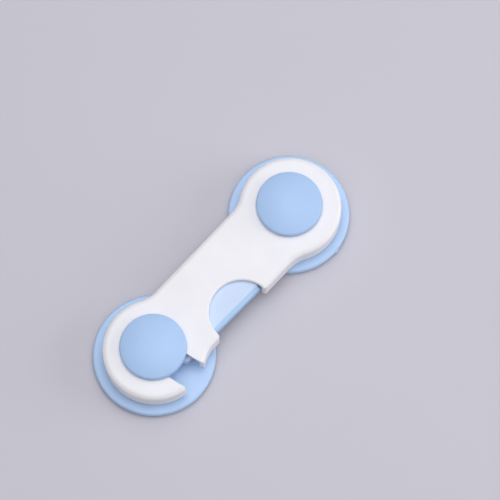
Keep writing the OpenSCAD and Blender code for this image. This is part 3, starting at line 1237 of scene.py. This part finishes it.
    def build_liner(self, shop: Workshop) -> None:
        """Makes the release liner, with its die-cut edge.

        Args:
            shop: The workshop that makes it.
        """
        node = f"{self.end}_release_liner"
        low, high = (corner.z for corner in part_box(node))
        burr = (high - low) / 4
        section = Section().to(0, low).to(self.pad_radius, low, burr)
        section.to(self.pad_radius, high, burr).to(0, high)
        piece = shop.turned(f"{self.end}_liner", section, (self.axis_x, 0), shop.finishes.liner)
        shop.place(piece, Body.BASES, Slot.LINER, node)

    def build_screw(self, shop: Workshop) -> None:
        """Makes the screw that draws the cap down.

        Args:
            shop: The workshop that makes it.
        """
        place = (self.axis_x, 0.0, self.screw_face)
        piece = self.screw.build(shop, f"{self.end}_screw", [place])
        shop.place(piece, Body.BASES, Slot.SCREW, f"{self.end}_cap_screw")


@dataclass
class SwingArm:
    """The arm: its shell, the cover under it and the cover's three screws."""

    shell_edge: float = 0.16 * MM
    corners: Sequence[Corner] = (
        Corner((6.24 * MM, -13.25 * MM), (177.6, -90.0), 1.0 * MM),
        Corner((-14.94 * MM, -13.25 * MM), (2.4, -90.0), 0.9 * MM),
        Corner((-34.64 * MM, -16.99 * MM), (14.2, -97.9), 0.8 * MM),
        Corner((-25.2 * MM, -15.54 * MM), (-164.9, -64.7), 0.8 * MM),
    )
    cover_edge: float = 0.1 * MM
    screw_places: Sequence[Point] = ((-20.35 * MM, 7.6 * MM), (17.65 * MM, 8 * MM), (17.65 * MM, -8 * MM))
    screw_face: float = 4.95 * MM
    screw: Screw = Screw(
        Head.COUNTERSUNK,
        head=1.75 * MM,
        head_height=1.03 * MM,
        shank=0.72 * MM,
        length=4.5 * MM,
        pitch=0.55 * MM,
        slot=1.872 * MM,
        seed=11,
    )

    def build(self, shop: Workshop) -> None:
        """Makes the arm's pieces and puts them in place.

        Args:
            shop: The workshop that makes them.
        """
        shell = shop.softened("arm_shell", "arm_top_shell", self.shell_edge, shop.finishes.arm, self.corners)
        shop.place(shell, Body.ARM, Slot.ARM, "arm_top_shell")
        cover = shop.softened("arm_cover", "arm_bottom_cover", self.cover_edge, shop.finishes.cover)
        shop.place(cover, Body.ARM, Slot.ARM, "arm_bottom_cover")
        places = [(*place, self.screw_face) for place in self.screw_places]
        screws = self.screw.build(shop, "cover_screws", places)
        shop.place(screws, Body.ARM, Slot.SCREW, "arm_screws")


@dataclass
class PressLatch:
    """The press lever in the arm and the spring behind its button."""

    edge: float = 0.2 * MM
    spring_x: float = -2.35 * MM
    spring_z: float = 8.85 * MM
    spring_low: float = 0.5 * MM
    spring_high: float = 10.55 * MM
    coil_radius: float = 1.65 * MM
    wire_radius: float = 0.25 * MM
    turns: float = 7.0
    closing: float = 0.3
    steps: int = 260
    push_lean: float = math.radians(18)
    squeezed_share: float = 0.665

    def build(self, shop: Workshop) -> None:
        """Makes the lever and its spring and puts them in place.

        Args:
            shop: The workshop that makes them.
        """
        lever = shop.softened("press_lever", "latch_lever", self.edge, shop.finishes.lever)
        shop.place(lever, Body.LEVER, Slot.LEVER, "latch_lever")
        self.build_spring(shop)

    def build_spring(self, shop: Workshop) -> None:
        """Makes the spring, which rides on the arm.

        Args:
            shop: The workshop that makes it.
        """
        values = {
            "Turns": self.turns,
            "Coil radius": self.coil_radius,
            "Wire radius": self.wire_radius,
            "Start": (self.spring_x, self.spring_low, self.spring_z),
            "Length": self.spring_high - self.spring_low,
            "End closing": self.closing,
            "Steps": self.steps,
            "Finish": shop.finishes.spring,
        }
        spring = shop.coiling.bake("return_spring", bpy.data.meshes.new("return_spring"), values)
        shop.shade(spring, facing_out=True)
        shop.place(spring, Body.ARM, Slot.SPRING, "latch_spring")
        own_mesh(spring)


@dataclass(frozen=True)
class Lamp:
    """A soft square lamp, placed by its bearing from the picture's right and its elevation, in degrees."""

    name: str
    bearing: float
    elevation: float
    share: float
    distance: float = 1.0
    size: float = 0.7

    def build(self, target: Vector, right: Vector, away: Vector) -> None:
        """Makes the lamp.

        Args:
            target: What it shines on.
            right: The picture's right, along the table.
            away: The picture's far side, along the table.
        """
        turn, rise = math.radians(self.bearing), math.radians(self.elevation)
        level = right * math.cos(turn) + away * math.sin(turn)
        back = level * math.cos(rise) + Vector((0, 0, math.sin(rise)))
        light = bpy.data.lights.new(self.name, "AREA")
        light.shape = "SQUARE"
        light.size = self.size
        light.energy = self.share * math.pi**2 * self.distance**2 / math.sin(rise)
        lamp = added(self.name, light)
        lamp.location = target + back * self.distance
        lamp.rotation_mode = "QUATERNION"
        lamp.rotation_quaternion = (-back).to_track_quat("-Z", "Y")


@dataclass
class Studio:
    """The table, the soft light and the camera."""

    table: TableTop = TableTop("table_lavender_grey", srgb(198, 196, 207), 0.62)
    table_half: float = 3.0
    table_drop: float = 0.02 * MM
    camera_place: Sequence[float] = (-151.1 * MM, -151.4 * MM, 825.7 * MM)
    camera_target: Sequence[float] = (15.15 * MM, 1.55 * MM, 0.0)
    lens: float = 187.3
    sensor: float = 36.0
    sky: Colour = (1.0, 1.0, 1.0)
    sky_share: float = 0.255
    lamps: Sequence[Lamp] = (
        Lamp("top_softbox", 0.0, 85.0, 0.377),
        Lamp("right_softbox", 0.0, 25.0, 0.147),
        Lamp("far_softbox", 90.0, 65.0, 0.2),
        Lamp("near_softbox", 225.0, 65.0, 0.12),
    )

    def build(self) -> None:
        """Makes the table, the lights and the camera."""
        scene = bpy.context.scene
        scene.view_settings.view_transform = "Standard"
        self.build_table()
        self.build_sky(scene)
        target = Vector(self.camera_target)
        look = target - Vector(self.camera_place)
        away = Vector((*look.xy, 0)).normalized()
        right = Vector((away.y, -away.x, 0))
        for lamp in self.lamps:
            lamp.build(target, right, away)
        camera = added("camera", bpy.data.cameras.new("camera"))
        camera.data.lens = self.lens
        camera.data.sensor_width = self.sensor
        camera.location = self.camera_place
        camera.rotation_mode = "QUATERNION"
        camera.rotation_quaternion = look.to_track_quat("-Z", "Y")
        scene.camera = camera

    def build_table(self) -> None:
        """Makes the table's board."""
        half = self.table_half
        mesh = bpy.data.meshes.new("table")
        corners = [(-half, -half), (half, -half), (half, half), (-half, half)]
        mesh.from_pydata([(*corner, -self.table_drop) for corner in corners], [], [(0, 1, 2, 3)])
        mesh.materials.append(self.table.material())
        added("table", mesh)

    def build_sky(self, scene: bpy.types.Scene) -> None:
        """Makes the even light from all round.

        Args:
            scene: The scene that it lights.
        """
        world = bpy.data.worlds.new("studio_air")
        world.use_nodes = True
        graph = Graph(world.node_tree)
        sockets = {"Color": (*self.sky, 1), "Strength": self.sky_share}
        air = graph.wire("ShaderNodeBackground", sockets)
        graph.node("ShaderNodeOutputWorld", {"Surface": air})
        scene.world = world


@dataclass
class CabinetLock:
    """The whole lock."""

    half_span: float = 32.35 * MM

    def build(self, shop: Workshop) -> None:
        """Makes every sub-assembly in order.

        Args:
            shop: The workshop that makes them.
        """
        StickOnBase("keeper", -self.half_span, gate_turn=0.0).build(shop)
        StickOnBase("pivot", self.half_span, gate_turn=math.radians(-86)).build(shop)
        SwingArm().build(shop)
        PressLatch().build(shop)


def main() -> None:
    """Builds the studio and the lock."""
    logging.basicConfig(level=logging.INFO, format="%(name)s: %(message)s")
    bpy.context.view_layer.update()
    Studio().build()
    CabinetLock().build(Workshop())


if __name__ == "__main__":
    main()
